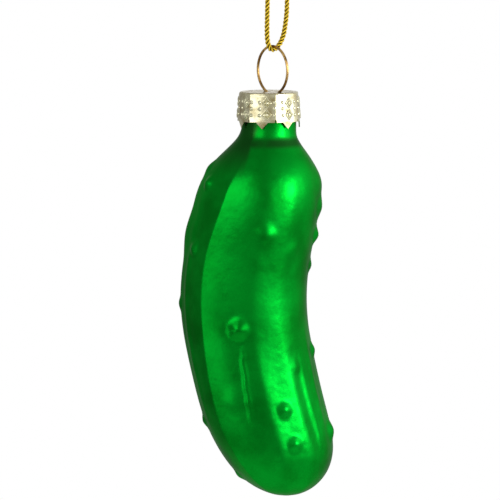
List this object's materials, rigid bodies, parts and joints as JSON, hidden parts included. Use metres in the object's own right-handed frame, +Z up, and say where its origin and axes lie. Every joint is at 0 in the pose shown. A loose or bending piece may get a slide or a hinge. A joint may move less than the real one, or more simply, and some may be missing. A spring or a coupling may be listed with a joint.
{
  "type": "pickle ornament",
  "caption": "Hollow blown-glass pickle with ridges and warts, hung by a tied cord through the wire ring of its stamped metal cap.",
  "frame": {"origin": "hanging point: the top of the cord's loop, just under the knot", "axes": "+Z up along the hanging line; +X to the right as seen from the front, in the plane of the pickle's bend; -Y is the front"},
  "size_m": [0.039, 0.0303, 0.1585],
  "materials": {
    "green_glass": "satin green lacquer on glass that is silvered inside",
    "cap_metal": "bright stamped sheet, pale champagne tint",
    "hanger_wire": "drawn wire, smooth, brass-brown",
    "gold_cord": "twisted metallic gold yarn"
  },
  "bodies": {
    "cord": {"hanging_cord": "gold_cord", "cord_knot": "gold_cord"},
    "hanger": {"wire_hanger": "hanger_wire"},
    "cap": {"metal_cap": "cap_metal"},
    "glass": {"glass_pickle": "green_glass"}
  },
  "joints": [
    {"name": "ring_swing", "type": "hinge", "parent": "cord", "child": "hanger", "pos_m": [0, 0, -0.036], "axis": [0.6101, -0.7923, 0], "range_deg": [-75, 75]},
    {"name": "hanger_pull", "type": "slide", "parent": "hanger", "child": "cap", "axis": [0, 0, -1], "range_m": [0, 0.002]},
    {"name": "cap_turn", "type": "hinge", "parent": "cap", "child": "glass", "pos_m": [-0.00085, 0.00111, -0.0473], "axis": [0, 0, 1], "continuous": true}
  ]
}
